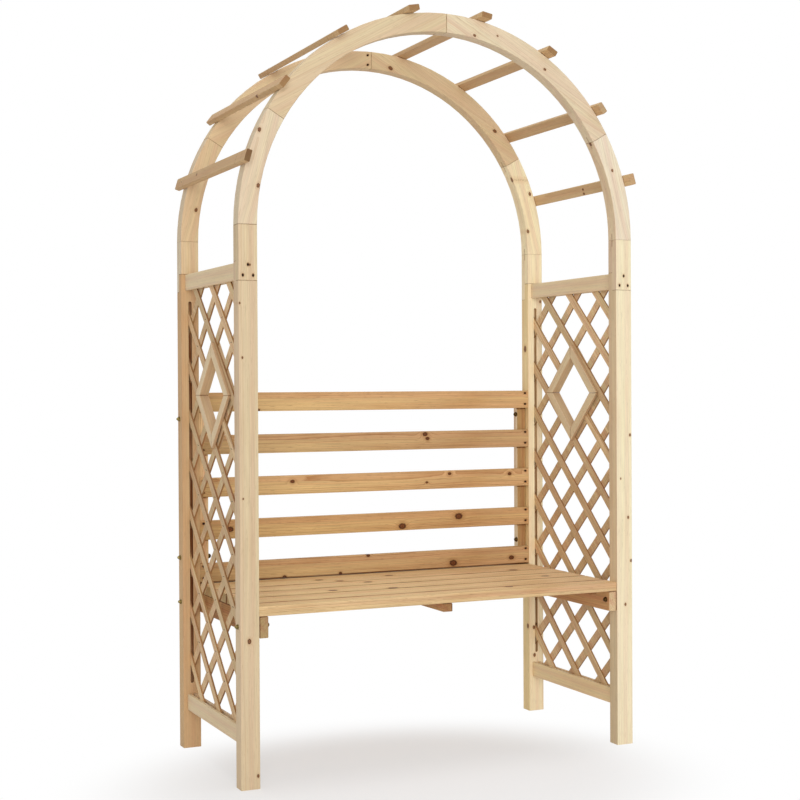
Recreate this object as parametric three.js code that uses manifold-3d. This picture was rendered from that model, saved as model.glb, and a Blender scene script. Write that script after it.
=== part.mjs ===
import * as THREE from 'three';
import { mergeVertices } from 'three/addons/utils/BufferGeometryUtils.js';
import Module from 'manifold-3d';

// Garden arbour seat in planed spruce: a bench under a round arch, with trellis side panels.
// Millimetres, +Z up. The origin is on the ground in the middle of the four feet.
// The sitter looks towards -Y, and left and right are as seen from the front.

// Posts and frame
const frameWidth = 1150; // across the outer faces of the posts
const frameDepth = 534; // front face of the front posts to back face of the back posts
const postWidth = 50;
const postDepth = 40;
const lapHeight = 1266; // shoulder where the outer half of a post stops
const lapLength = 50; // length of the half-lap between post and arch leg
const panelGrooveStop = 30; // from the end of a post's groove to the rail

// Arch: legs, then a half circle of four sawn segments, as wide as the posts
const archLegRise = 90; // top of a post to the centre of the half circle
const jointAngle = 30.5; // degrees above the spring line, where two segments meet
const topLapLine = 4; // where the front half of the top lap ends, right of the middle
const topLapLength = 24;
const dowelDiameter = 10;
const dowelReach = 20; // length of a dowel in each of the pieces that it joins

// Rungs, laid across both arches
const rungCount = 8;
const rungWidth = 31;
const rungThickness = 15;
const rungOverhang = 33; // past the front and back faces of the frame
const rungLowestAngle = 16.5; // degrees above the spring line

// Side panels: two rails, a stapled lattice and a diamond frame
const railHeight = 44;
const railThickness = 27;
const lowerRailRise = 106; // ground to the lower rail
const upperRailDrop = 1.5; // top of a post to the upper rail
const tenonThickness = 9;
const tenonHeight = 22;
const tenonLength = 12;
const grooveDepth = 10;
const stripWidth = 24;
const stripThickness = 4.5;
const stripPress = 0.2; // how far the two layers are pressed into each other
const latticePitchY = 145;
const latticePitchZ = 135;
const diamondDrop = 290; // upper rail to the centre of the diamond frame
const diamondHalfDiagonal = 141;
const diamondBarWidth = 27;
const diamondBarThickness = 26;
const diamondGrooveDepth = 16;

// Seat
const seatHeight = 454; // top of the seat slats
const seatSlatShares = [0.125, 0.197, 0.192, 0.184, 0.302]; // of the seat's depth, from the front
const seatSlatThickness = 25;
const seatSlatGap = 3;
const seatSetback = 3; // front slat and bearers behind the front face of the posts
const bearerThickness = 24;
const bearerHeight = 54;
const middleBearerWidth = 28;
const middleBearerHeight = 22;

// Back rest
const backSlatCount = 5;
const backSlatHeight = 53.5;
const backSlatThickness = 16;
const backSlatPitch = 119.3;
const backSlatRise = 2.2; // seat top to the lowest slat
const backSlatSetback = 2; // behind the inner face of the back posts
const battenWidth = 30;
const battenTopInset = 5; // below the top of the highest slat

// Fasteners
const boltDiameter = 6;
const boltHeadDiameter = 13;
const boltHeadHeight = 6.5;
const boltNutDiameter = 11.5;
const boltNutHeight = 5;
const boltCapDiameter = 8; // domed end of the cap nut
const boltDrop = 23.5; // top of a side bearer to its bolts
const screwRecessDiameter = 5.5;
const screwRecessDepth = 3;

// Places of screws, as shares of the piece that they go through
const lapScrewShares = [[0, 0.79], [-0.27, 0.26], [0.27, 0.26]]; // of post width and lap length
const topScrewShares = [-0.28, 0.28]; // of the arch width, about its middle
const backScrewShares = [-0.265, 0.355]; // of the slat height, about its middle
const backScrewInsetShare = 0.36; // of the batten width, from the post

// Finish of the edges, and clearances
const arrisRadius = 2; // planed edges are eased
const arrisSteps = 1;
const fit = 0.3; // between pieces that touch
const overrun = 5; // how far a cutter runs past what it cuts

// Facets
const roundSides = 12;
const nutSides = 6;
const facetDegrees = 4; // turn of one facet of the arch

const { degToRad } = THREE.MathUtils;
const quarterTurn = Math.PI / 2;
const halfTurn = Math.PI;

// Sizes that follow from the ones above
const postTop = lapHeight + lapLength;
const springHeight = postTop + archLegRise;
const postX = (frameWidth - postWidth) / 2;
const postY = (frameDepth - postDepth) / 2;
const outerRadius = frameWidth / 2;
const archWidth = postWidth;
const meanRadius = outerRadius - archWidth / 2;
const panelLength = frameDepth - 2 * postDepth;
const innerX = frameWidth / 2 - postWidth;
const lowerRailZ = lowerRailRise + railHeight / 2;
const upperRailZ = postTop - upperRailDrop - railHeight / 2;
const panelBottom = lowerRailRise + railHeight;
const panelTop = postTop - upperRailDrop - railHeight;
const diamondHeight = panelTop - diamondDrop;
const grooveWidth = 2 * stripThickness - stripPress + 2 * fit;
const diamondOuter = diamondHalfDiagonal / Math.SQRT2; // middle of the diamond to an outer face
const seatUnderside = seatHeight - seatSlatThickness;
const seatFront = seatSetback - frameDepth / 2;
const bearerLength = frameDepth - 2 * seatSetback;
const bearerMiddle = seatUnderside - fit - bearerHeight / 2;
const boltHeight = seatUnderside - fit - boltDrop;
const slatLength = 2 * innerX - 2 * fit;
const backSlatFront = frameDepth / 2 - postDepth + backSlatSetback;
const seatDepth = backSlatFront + backSlatThickness - seatFront;
const backRestTop = seatHeight + backSlatRise + backSlatHeight + (backSlatCount - 1) * backSlatPitch;

// Wood and metal as the eye sees them
const paleSpruce = { color: '#e4cfa8', roughness: 0.62, metalness: 0 };
const warmSpruce = { color: '#cf9f6a', roughness: 0.62, metalness: 0 };
const rungSpruce = { color: '#c1a27a', roughness: 0.68, metalness: 0 };
const stripSpruce = { color: '#b6946a', roughness: 0.72, metalness: 0 };
const zincPlate = { color: '#8d7b52', roughness: 0.35, metalness: 1 };

const manifold = await Module();
manifold.setup();

// A closed geometry as a solid, and back again with flat faces
function solidOf(geometry) {
  const bare = geometry.clone();
  bare.deleteAttribute('normal');
  bare.deleteAttribute('uv');
  const merged = mergeVertices(bare);
  return new manifold.Manifold(new manifold.Mesh({
    numProp: 3,
    vertProperties: merged.attributes.position.array,
    triVerts: new Uint32Array(merged.index.array),
  }));
}

function geometryOf(solid) {
  const mesh = solid.getMesh();
  const indexed = new THREE.BufferGeometry();
  indexed.setAttribute('position', new THREE.BufferAttribute(mesh.vertProperties, mesh.numProp));
  indexed.setIndex(new THREE.BufferAttribute(mesh.triVerts, 1));
  const flat = indexed.toNonIndexed();
  flat.computeVertexNormals();
  return flat;
}

function cut(geometry, ...tools) {
  return geometryOf(tools.reduce((body, tool) => body.subtract(solidOf(tool)), solidOf(geometry)));
}

function fuse(geometry, ...others) {
  return geometryOf(others.reduce((body, other) => body.add(solidOf(other)), solidOf(geometry)));
}

function keepInside(geometry, tool) {
  return geometryOf(solidOf(geometry).intersect(solidOf(tool)));
}

// Timber section with its four edges eased
function easedSection(width, height) {
  const x = width / 2 - arrisRadius;
  const y = height / 2 - arrisRadius;
  const section = new THREE.Shape();
  section.absarc(x, y, arrisRadius, 0, quarterTurn);
  section.absarc(-x, y, arrisRadius, quarterTurn, halfTurn);
  section.absarc(-x, -y, arrisRadius, halfTurn, halfTurn + quarterTurn);
  section.absarc(x, -y, arrisRadius, halfTurn + quarterTurn, 2 * halfTurn);
  return section;
}

// Planed timber centred on the origin, with its grain along one axis
function timber(grain, x, y, z) {
  const length = { x, y, z }[grain];
  const [width, height] = { x: [z, y], y: [x, z], z: [x, y] }[grain];
  const geometry = new THREE.ExtrudeGeometry(easedSection(width, height), {
    depth: length,
    curveSegments: arrisSteps,
    bevelEnabled: false,
  });
  geometry.translate(0, 0, -length / 2);
  if (grain === 'x') geometry.rotateY(quarterTurn);
  if (grain === 'y') geometry.rotateX(-quarterTurn);
  return geometry;
}

function block(x, y, z) {
  return new THREE.BoxGeometry(x, y, z);
}

// Round bar centred on the origin, along one axis
function roundBar(axis, diameter, length) {
  const bar = new THREE.CylinderGeometry(diameter / 2, diameter / 2, length, roundSides);
  if (axis === 'x') bar.rotateZ(quarterTurn);
  if (axis === 'z') bar.rotateX(quarterTurn);
  return bar;
}

// Recess for a screw head, to sink into a face that looks along -Y
function screwRecess(x, faceY, z) {
  return roundBar('y', screwRecessDiameter, 2 * screwRecessDepth).translate(x, faceY, z);
}

// Front left post about its own axis: its outer half stops at the lap, and the panel is behind it
function postGeometry() {
  const outerCheek = block(postWidth + overrun, postDepth + fit, 2 * lapLength)
    .translate(0, -postDepth / 2, postTop);
  const grooveEnd = grooveWidth / 2;
  const grooveLow = panelBottom + panelGrooveStop + grooveEnd;
  const grooveHigh = panelTop - panelGrooveStop - grooveEnd;
  const slot = new THREE.Shape();
  slot.absarc(0, grooveHigh, grooveEnd, 0, halfTurn);
  slot.absarc(0, grooveLow, grooveEnd, halfTurn, 2 * halfTurn);
  const groove = new THREE.ExtrudeGeometry(slot, {
    depth: 2 * grooveDepth,
    curveSegments: roundSides / 2,
    bevelEnabled: false,
  }).rotateX(quarterTurn).translate(0, postDepth / 2 + grooveDepth, 0);
  const mortises = [lowerRailZ, upperRailZ].map((height) => block(
    tenonThickness + 2 * fit,
    2 * (tenonLength + fit),
    tenonHeight + 2 * fit,
  ).translate(0, postDepth / 2, height));
  const boltHole = roundBar('x', boltDiameter + 2 * fit, postWidth + overrun)
    .translate(0, 0, boltHeight);
  const body = timber('z', postWidth, postDepth, postTop).translate(0, 0, postTop / 2);
  return cut(body, outerCheek, groove, ...mortises, boltHole);
}

// Front leg of the arch about the axis of its post: the tongue takes the outer half of the lap
function legGeometry() {
  const bottom = lapHeight + fit;
  const top = springHeight - fit / 2;
  const shoulder = postTop + fit;
  const innerCheek = block(postWidth + overrun, postDepth + fit, 2 * (shoulder - bottom))
    .translate(0, postDepth / 2, bottom);
  const recesses = lapScrewShares.map(([across, up]) => screwRecess(
    across * postWidth,
    -postDepth / 2,
    lapHeight + up * lapLength,
  ));
  const body = timber('z', archWidth, postDepth, top - bottom).translate(0, 0, (top + bottom) / 2);
  const dowel = roundBar('z', dowelDiameter, 2 * dowelReach).translate(0, 0, top);
  return fuse(cut(body, innerCheek, ...recesses), dowel);
}

// Sawn segment of the half circle, from one angle to another, about the middle of the arch
function segmentGeometry(startAngle, endAngle) {
  const sweep = endAngle - startAngle;
  const geometry = new THREE.ExtrudeGeometry(easedSection(archWidth, postDepth), {
    depth: sweep,
    steps: Math.ceil(sweep / degToRad(facetDegrees)),
    curveSegments: arrisSteps,
    bevelEnabled: false,
  });
  const places = geometry.attributes.position;
  for (let i = 0; i < places.count; i += 1) {
    const radius = meanRadius + places.getX(i);
    const angle = startAngle + places.getZ(i);
    places.setXYZ(i, radius * Math.cos(angle), places.getY(i), radius * Math.sin(angle));
  }
  return geometry;
}

// Dowel hole or dowel at the start of a segment, along its tangent
function segmentDowel(angle, diameter, reach) {
  return roundBar('z', diameter, 2 * reach)
    .rotateY(-angle)
    .translate(meanRadius * Math.cos(angle), 0, meanRadius * Math.sin(angle));
}

const dowelHoleDiameter = dowelDiameter + 2 * fit;
const halfGlueAngle = fit / 2 / meanRadius;
const segmentJoint = degToRad(jointAngle);

// Lower right segment: a dowel hole at the leg, and a dowel towards the top
function lowerSegmentGeometry() {
  const body = segmentGeometry(halfGlueAngle, segmentJoint - halfGlueAngle);
  const hole = segmentDowel(0, dowelHoleDiameter, dowelReach + fit);
  return fuse(cut(body, hole), segmentDowel(segmentJoint, dowelDiameter, dowelReach));
}

// Upper segment of one side, lapped at the top: the left one has its tongue in the front half.
// The two lap screws go in from the face that looks into the arbour.
function upperSegmentGeometry(side, facing) {
  const lapAngle = Math.asin((topLapLine + topLapLength) / (outerRadius - archWidth));
  const start = segmentJoint + halfGlueAngle;
  const end = quarterTurn + lapAngle;
  const isLeft = side < 0;
  const body = isLeft
    ? segmentGeometry(halfTurn - end, halfTurn - start)
    : segmentGeometry(start, end);
  const frontEdge = topLapLine + side * fit / 2;
  const backEdge = frontEdge - topLapLength;
  const wasteY = (postDepth - fit) / 2;
  const waste = block(frameWidth, postDepth, frameWidth).translate(-side * outerRadius, 0, outerRadius);
  const frontWaste = waste.clone().translate(frontEdge, -wasteY, 0);
  const backWaste = waste.clone().translate(backEdge, wasteY, 0);
  const holeAngle = isLeft ? halfTurn - segmentJoint : segmentJoint;
  const hole = segmentDowel(holeAngle, dowelHoleDiameter, dowelReach + fit);
  const hasScrews = side === -facing;
  const recesses = topScrewShares.filter(() => hasScrews).map((share) => screwRecess(
    topLapLine - topLapLength / 2,
    -facing * postDepth / 2,
    meanRadius + share * archWidth,
  ));
  return cut(body, frontWaste, backWaste, hole, ...recesses);
}

// Rail of a side panel, grooved below for the lattice, with a stub tenon at each end
function railGeometry() {
  const length = panelLength - 2 * fit;
  const groove = block(grooveWidth, panelLength + overrun, 2 * grooveDepth)
    .translate(0, 0, -railHeight / 2);
  const tenons = block(tenonThickness, length + 2 * tenonLength, tenonHeight);
  return fuse(cut(timber('y', railThickness, length, railHeight), groove), tenons);
}

// One lattice strip through a height on the panel's middle line, rising or falling to the back
function latticeStrip(rise, height, layerX) {
  const slope = Math.atan2(rise * latticePitchZ, latticePitchY);
  const length = 2 * (panelTop - panelBottom + panelLength);
  return block(stripThickness, length, stripWidth)
    .rotateX(slope)
    .translate(layerX, 0, height);
}

// A strip is long enough when it crosses another one inside the panel
function stripIsHeld(rise, height) {
  const slope = rise * latticePitchZ / latticePitchY;
  const atBottom = (panelBottom - height) / slope;
  const atTop = (panelTop - height) / slope;
  const least = Math.max(Math.min(atBottom, atTop), -panelLength / 2) + stripWidth / 2;
  const most = Math.min(Math.max(atBottom, atTop), panelLength / 2) - stripWidth / 2;
  const crossing = latticePitchY / 2;
  return Math.floor(most / crossing) >= Math.ceil(least / crossing);
}

// Stapled lattice: one layer rises to the back, the layer behind it falls to the back
function latticeGeometry() {
  const layerX = (stripThickness - stripPress) / 2;
  const tallest = panelTop - panelBottom + panelLength;
  const reach = Math.ceil(tallest / latticePitchZ);
  const strips = [];
  for (let i = -reach; i <= reach; i += 1) {
    const height = diamondHeight + i * latticePitchZ;
    if (stripIsHeld(1, height)) strips.push(latticeStrip(1, height, -layerX));
    if (stripIsHeld(-1, height)) strips.push(latticeStrip(-1, height, layerX));
  }
  const inGroove = grooveDepth - 2 * fit;
  const opening = block(
    postWidth,
    panelLength + 2 * inGroove,
    panelTop - panelBottom + 2 * inGroove,
  ).translate(0, 0, (panelTop + panelBottom) / 2);
  const core = diamondOuter - diamondGrooveDepth + fit;
  const diamondHole = block(postWidth, 2 * core, 2 * core)
    .rotateX(quarterTurn / 2)
    .translate(0, 0, diamondHeight);
  return cut(keepInside(fuse(...strips), opening), diamondHole);
}

// Mitred bar of the diamond frame, above the middle, with its groove in the outer edge
function diamondBarGeometry() {
  const groove = block(grooveWidth, 2 * diamondHalfDiagonal, 2 * diamondGrooveDepth)
    .translate(0, 0, diamondOuter);
  const mitreGap = fit / Math.SQRT2;
  const wedge = new THREE.Shape([
    new THREE.Vector2(0, mitreGap),
    new THREE.Vector2(diamondHalfDiagonal, diamondHalfDiagonal + mitreGap),
    new THREE.Vector2(-diamondHalfDiagonal, diamondHalfDiagonal + mitreGap),
  ]);
  const mitres = new THREE.ExtrudeGeometry(wedge, { depth: 2 * postWidth, bevelEnabled: false })
    .rotateX(quarterTurn)
    .rotateZ(quarterTurn)
    .translate(-postWidth, 0, 0);
  const body = timber('y', diamondBarThickness, 2 * diamondOuter, diamondBarWidth)
    .translate(0, 0, diamondOuter - diamondBarWidth / 2);
  return keepInside(cut(body, groove), mitres);
}

// Back slat with two screw recesses at each end, in line with the battens
function backSlatGeometry() {
  const recesses = [-1, 1].flatMap((end) => backScrewShares.map((share) => screwRecess(
    end * (innerX - backScrewInsetShare * battenWidth),
    -backSlatThickness / 2,
    share * backSlatHeight,
  )));
  return cut(timber('x', slatLength, backSlatThickness, backSlatHeight), ...recesses);
}

// Side bearer of the seat, drilled for a bolt through each post
function sideBearerGeometry() {
  const holes = [-1, 1].map((end) => roundBar('x', boltDiameter + 2 * fit, 2 * bearerThickness)
    .translate(0, end * postY, boltHeight - bearerMiddle));
  return cut(timber('y', bearerThickness, bearerLength, bearerHeight), ...holes);
}

// Bolt from a bearer into the post on its right, with its head at -X and a cap nut outside
function boltGeometry() {
  const grip = bearerThickness + postWidth + 3 * fit;
  const shank = roundBar('x', boltDiameter, grip + boltHeadHeight).translate(grip / 2, 0, 0);
  const head = new THREE.SphereGeometry(boltHeadDiameter / 2, roundSides, roundSides)
    .scale(2 * boltHeadHeight / boltHeadDiameter, 1, 1);
  const headFlat = block(boltHeadDiameter, boltHeadDiameter + overrun, boltHeadDiameter + overrun)
    .translate(boltHeadDiameter / 2, 0, 0);
  const nutRadius = boltNutDiameter / 2;
  const nut = new THREE.CylinderGeometry(nutRadius, nutRadius, boltNutHeight, nutSides)
    .rotateZ(quarterTurn)
    .translate(grip + boltNutHeight / 2, 0, 0);
  const cap = new THREE.SphereGeometry(boltCapDiameter / 2, roundSides, roundSides)
    .translate(grip + boltNutHeight, 0, 0);
  return fuse(shank, cut(head, headFlat), nut, cap);
}

function piece(name, geometry, finish, x = 0, y = 0, z = 0) {
  const mesh = new THREE.Mesh(geometry, new THREE.MeshStandardMaterial(finish));
  mesh.name = name;
  mesh.position.set(x, y, z);
  return mesh;
}

const sides = [['left', -1], ['right', 1]];
const arbour = new THREE.Group();

// Front frame and back frame: the back one is the front one turned round
const postShape = postGeometry();
const legShape = legGeometry();
const lowerShape = lowerSegmentGeometry();
for (const [frameName, facing] of [['front', -1], ['back', 1]]) {
  const frame = new THREE.Group();
  frame.position.y = facing * postY;
  for (const [sideName, side] of sides) {
    const post = piece(`${frameName}_${sideName}_post`, postShape, paleSpruce, side * postX);
    const leg = piece(`${frameName}_${sideName}_arch_leg`, legShape, paleSpruce, side * postX);
    const lower = piece(`${frameName}_${sideName}_arch_lower`, lowerShape, paleSpruce);
    const upperShape = upperSegmentGeometry(side, facing);
    const upper = piece(`${frameName}_${sideName}_arch_upper`, upperShape, paleSpruce);
    post.rotation.z = facing < 0 ? 0 : halfTurn;
    leg.rotation.z = post.rotation.z;
    lower.rotation.z = side < 0 ? halfTurn : 0;
    lower.position.z = springHeight;
    upper.position.z = springHeight;
    frame.add(post, leg, lower, upper);
  }
  arbour.add(frame);
}

// Rungs, numbered from the left post over the top to the right post
const rungShape = timber('y', rungThickness, frameDepth + 2 * rungOverhang, rungWidth);
const lowestRung = degToRad(rungLowestAngle);
for (let i = 0; i < rungCount; i += 1) {
  const angle = halfTurn - lowestRung - (halfTurn - 2 * lowestRung) * i / (rungCount - 1);
  const radius = outerRadius + fit + rungThickness / 2;
  const x = radius * Math.cos(angle);
  const z = springHeight + radius * Math.sin(angle);
  const rung = piece(`rung_${i + 1}`, rungShape, rungSpruce, x, 0, z);
  rung.rotation.y = -angle;
  arbour.add(rung);
}

// Side panels, the same way round on both sides
const railShape = railGeometry();
const latticeShape = latticeGeometry();
const barShape = diamondBarGeometry();
const barPlaces = ['upper_front', 'lower_front', 'lower_back', 'upper_back'];
for (const [sideName, side] of sides) {
  const panel = new THREE.Group();
  panel.position.x = side * postX;
  const upperRail = piece(`${sideName}_upper_rail`, railShape, rungSpruce, 0, 0, upperRailZ);
  const lowerRail = piece(`${sideName}_lower_rail`, railShape, rungSpruce, 0, 0, lowerRailZ);
  lowerRail.rotation.y = halfTurn;
  panel.add(upperRail, lowerRail, piece(`${sideName}_lattice`, latticeShape, stripSpruce));
  barPlaces.forEach((place, i) => {
    const bar = piece(`${sideName}_diamond_${place}`, barShape, rungSpruce, 0, 0, diamondHeight);
    bar.rotation.x = (i + 1 / 2) * quarterTurn;
    panel.add(bar);
  });
  arbour.add(panel);
}

// Seat: slats from side to side, under the back rest as far as its battens, on two side bearers
// and a middle one
let slatFront = seatFront;
seatSlatShares.forEach((share, i) => {
  const width = share * (seatDepth + seatSlatGap) - seatSlatGap;
  const shape = timber('x', slatLength, width, seatSlatThickness);
  const z = seatHeight - seatSlatThickness / 2;
  arbour.add(piece(`seat_slat_${i + 1}`, shape, warmSpruce, 0, slatFront + width / 2, z));
  slatFront += width + seatSlatGap;
});
const middleBearerShape = timber('y', middleBearerWidth, seatDepth, middleBearerHeight);
arbour.add(piece(
  'seat_middle_bearer',
  middleBearerShape,
  warmSpruce,
  0,
  seatFront + seatDepth / 2,
  seatUnderside - fit - middleBearerHeight / 2,
));

// Side bearers, their bolts, and the battens of the back rest
const bearerShape = sideBearerGeometry();
const boltShape = boltGeometry();
const battenDepth = frameDepth / 2 - backSlatFront - backSlatThickness - fit;
const battenBottom = seatUnderside;
const battenTop = backRestTop - battenTopInset;
const battenShape = timber('z', battenWidth, battenDepth, battenTop - battenBottom);
for (const [sideName, side] of sides) {
  const bearerX = side * (innerX - fit - bearerThickness / 2);
  arbour.add(piece(`seat_${sideName}_bearer`, bearerShape, warmSpruce, bearerX, 0, bearerMiddle));
  for (const [frameName, facing] of [['front', -1], ['back', 1]]) {
    const headX = side * (innerX - 2 * fit - bearerThickness);
    const boltName = `bearer_bolt_${frameName}_${sideName}`;
    const bolt = piece(boltName, boltShape, zincPlate, headX, facing * postY, boltHeight);
    bolt.rotation.z = side < 0 ? halfTurn : 0;
    arbour.add(bolt);
  }
  arbour.add(piece(
    `back_${sideName}_batten`,
    battenShape,
    warmSpruce,
    side * (innerX - fit - battenWidth / 2),
    (frameDepth - battenDepth) / 2,
    (battenTop + battenBottom) / 2,
  ));
}

// Back slats, numbered from the seat up
const backSlatShape = backSlatGeometry();
for (let i = 0; i < backSlatCount; i += 1) {
  const y = backSlatFront + backSlatThickness / 2;
  const z = seatHeight + backSlatRise + backSlatHeight / 2 + i * backSlatPitch;
  arbour.add(piece(`back_slat_${i + 1}`, backSlatShape, warmSpruce, 0, y, z));
}

export default arbour;
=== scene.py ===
# %% [markdown]
# # A garden arbour seat in spruce
# The seat is a bench for two under a round arch, with a trellis panel on each side. Its timber
# comes from the CAD model with the joints already cut. This lesson adds what the eye looks for:
# eased edges, grain that belongs to each board, knots, screws, staples and soft studio light.

# %% Load the CAD model
import math
import random

import bmesh
import bpy
from mathutils import Matrix, Vector


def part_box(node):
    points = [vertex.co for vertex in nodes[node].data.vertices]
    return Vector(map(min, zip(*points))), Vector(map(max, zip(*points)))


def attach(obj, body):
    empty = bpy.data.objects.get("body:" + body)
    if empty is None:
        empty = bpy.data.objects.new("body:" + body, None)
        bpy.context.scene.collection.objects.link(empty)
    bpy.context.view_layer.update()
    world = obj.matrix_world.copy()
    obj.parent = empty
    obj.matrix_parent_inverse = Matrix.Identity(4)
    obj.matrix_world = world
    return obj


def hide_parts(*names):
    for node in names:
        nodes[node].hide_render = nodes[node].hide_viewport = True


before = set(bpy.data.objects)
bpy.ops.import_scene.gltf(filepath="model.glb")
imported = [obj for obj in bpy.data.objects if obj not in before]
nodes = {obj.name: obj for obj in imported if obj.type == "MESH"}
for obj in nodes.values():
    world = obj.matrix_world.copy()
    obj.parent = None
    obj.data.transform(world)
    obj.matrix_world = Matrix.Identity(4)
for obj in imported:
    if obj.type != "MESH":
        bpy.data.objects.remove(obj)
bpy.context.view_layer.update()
MM = 0.001  # m
X, Y, Z = (1, 0, 0), (0, 1, 0), (0, 0, 1)

# %% [markdown]
# ## Camera
# A product photograph of furniture is taken from a little to one side, with a long lens, so that
# upright posts stay upright. The lens is given by its focal length in pixels of an 800-pixel
# picture, because that is what a fit to the photograph gives, and is turned into millimetres here.

# %% Place the camera
PICTURE_SIDE = 800  # pixels
FOCAL_PIXELS = 1508.5
SENSOR = 36  # mm
camera_place = Vector((-1773.3, -3822.8, 1002.0)) * MM
camera_yaw = math.radians(24.710)  # to the right of straight ahead
camera_pitch = math.radians(-0.520)
camera_roll = math.radians(-0.289)

camera = bpy.data.objects.new("camera", bpy.data.cameras.new("camera"))
camera.data.sensor_width = SENSOR
camera.data.lens = FOCAL_PIXELS / PICTURE_SIDE * SENSOR
heading = Matrix.Rotation(-camera_yaw, 4, "Z") @ Matrix.Rotation(math.pi / 2 + camera_pitch, 4, "X")
camera.matrix_world = Matrix.Translation(camera_place) @ heading @ Matrix.Rotation(camera_roll, 4, "Z")
bpy.context.collection.objects.link(camera)
bpy.context.scene.camera = camera
bpy.context.scene.view_settings.view_transform = "Standard"
print("lens in mm:", round(camera.data.lens, 2))

# %% [markdown]
# ## A few helpers
# Every material below is a graph of nodes. One function adds a node, sets its options, and links
# or fills its inputs, so that each step of a graph is one line. Inputs are given by name or in
# order: a MapRange takes the value, the range that it comes in and the range that it leaves in.
# Others turn the hex colours that a painter would note down into the linear values that the
# renderer works in, read a CAD node's box in millimetres, and make an object from a shape.

# %% Write the helpers
def fill(tree, node, inputs):
    """Links or sets several inputs of one node, given by name or in order."""
    for socket, value in inputs.items() if isinstance(inputs, dict) else enumerate(inputs):
        if isinstance(value, bpy.types.NodeSocket):
            tree.links.new(value, node.inputs[socket])
        else:
            node.inputs[socket].default_value = value


def add(tree, kind, inputs=(), output=0, **settings):
    """Adds one shader node, such as "Math ADD", and returns the output that the next node reads."""
    kind, _, operation = kind.partition(" ")
    node = tree.nodes.new("ShaderNode" + kind)
    if operation:
        node.operation = operation
    for setting, value in settings.items():
        setattr(node, setting, value)
    fill(tree, node, inputs)
    return node.outputs[output]


def new_material(name):
    """A new material and its empty node tree."""
    material = bpy.data.materials.new(name)
    material.use_nodes = True
    material.node_tree.nodes.clear()
    return material, material.node_tree


def linear(hex_colour):
    """An sRGB hex colour as linear red, green, blue and alpha."""
    shares = [int(hex_colour[i:i + 2], 16) / 255 for i in (1, 3, 5)]
    return (*[s / 12.92 if s <= 0.04045 else ((s + 0.055) / 1.055) ** 2.4 for s in shares], 1)


def box_mm(name):
    """The lowest and highest corners of a CAD node's box, in millimetres."""
    return [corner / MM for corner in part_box(name)]


def new_mesh(name, shape):
    """A mesh from a bmesh, which is freed."""
    mesh = bpy.data.meshes.new(name)
    shape.to_mesh(mesh)
    shape.free()
    return mesh


def new_piece(name, shape, *materials):
    """An object from a bmesh, with its materials."""
    piece = bpy.data.objects.new(name, new_mesh(name, shape))
    for material in materials:
        piece.data.materials.append(material)
    bpy.context.collection.objects.link(piece)
    return piece


print("white is", linear("#ffffff"))

# %% [markdown]
# ## Studio floor
# The seat stands on a sheet of matt paper that runs out to pure white. Close to the feet the
# paper is an ordinary pale surface that shows their soft shadows. Further out it turns into an
# even white, but only for rays that look at it, so that no extra light falls on the seat.

# %% Lay the floor
FLOOR_SIDE = 40  # m
PAPER = "#e9e6e5"
PAPER_WHITE = 0.5  # how white the paper is in the middle of the shadow
SHADOW_PLACE = (-0.18, -0.36, 0)  # m
SHADOW_SHAPE = (1, 1.2, 1)  # the shadow is wider than it is deep
SHADOW_INNER, SHADOW_OUTER = 0.40, 0.95  # m, where the paper starts and ends turning white


def looked_at(tree):
    """1 for rays that show the surface: from the camera, in a reflection, or through glass."""
    rays = tree.nodes.new("ShaderNodeLightPath").outputs
    seen = add(tree, "Math MAXIMUM", [rays["Is Camera Ray"], rays["Is Glossy Ray"]])
    return add(tree, "Math MAXIMUM", [seen, rays["Is Transmission Ray"]])


paper, tree = new_material("matt_paper")
place = add(tree, "TexCoord", output="Object")
from_middle = add(tree, "VectorMath SUBTRACT", [place, SHADOW_PLACE])
shaped = add(tree, "VectorMath MULTIPLY", [from_middle, SHADOW_SHAPE])
away = add(tree, "VectorMath LENGTH", [shaped], "Value")
whiteness = add(
    tree, "MapRange", [away, SHADOW_INNER, SHADOW_OUTER, PAPER_WHITE], interpolation_type="SMOOTHERSTEP",
)
shown_white = add(tree, "Math MULTIPLY", [whiteness, looked_at(tree)])
matt = add(tree, "BsdfDiffuse", {"Color": linear(PAPER)})
white = add(tree, "Emission", {"Color": linear("#ffffff"), "Strength": 1})
mixed = add(tree, "MixShader", [shown_white, matt, white])
fill(tree, tree.nodes.new("ShaderNodeOutputMaterial"), [mixed])

shape = bmesh.new()
bmesh.ops.create_grid(shape, x_segments=4, y_segments=4, size=FLOOR_SIDE / 2)
floor = new_piece("floor", shape, paper)
print("floor:", FLOOR_SIDE, "m square")

# %% [markdown]
# ## Light
# Two big soft boxes and a bright room. The main one stands in front of the seat and a little to the
# left, so it reaches the back posts past the trellis, and the faces that look sideways stay darker
# and show the posts' square corners. The other one hangs overhead, for the seat. All of it is kept
# at the level where a matt surface comes out in the colour that it was given.

# %% Set up the soft boxes and the room
ROOM_LEVEL = 0.58  # of full white, for rays that only light the seat
soft_boxes = {
    # name: (place in m, aim in m, side in m, share of full light on a face that looks at it)
    "main_soft_box": ((-2.2, -6.8, 2.2), (0.0, 0.0, 1.0), 4.0, 0.46),
    "overhead_soft_box": ((0.2, 0.3, 7.0), (0.0, 0.0, 1.0), 3.2, 0.32),
}
for name, (place, aim, side, share) in soft_boxes.items():
    lamp = bpy.data.lights.new(name, "AREA")
    lamp.shape = "SQUARE"
    lamp.size = side
    path = Vector(aim) - Vector(place)
    lamp.energy = share * math.pi ** 2 * path.length_squared
    box = bpy.data.objects.new(name, lamp)
    box.location = place
    box.rotation_euler = path.to_track_quat("-Z", "Y").to_euler()
    bpy.context.collection.objects.link(box)
    print(name, round(lamp.energy), "W")

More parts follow.
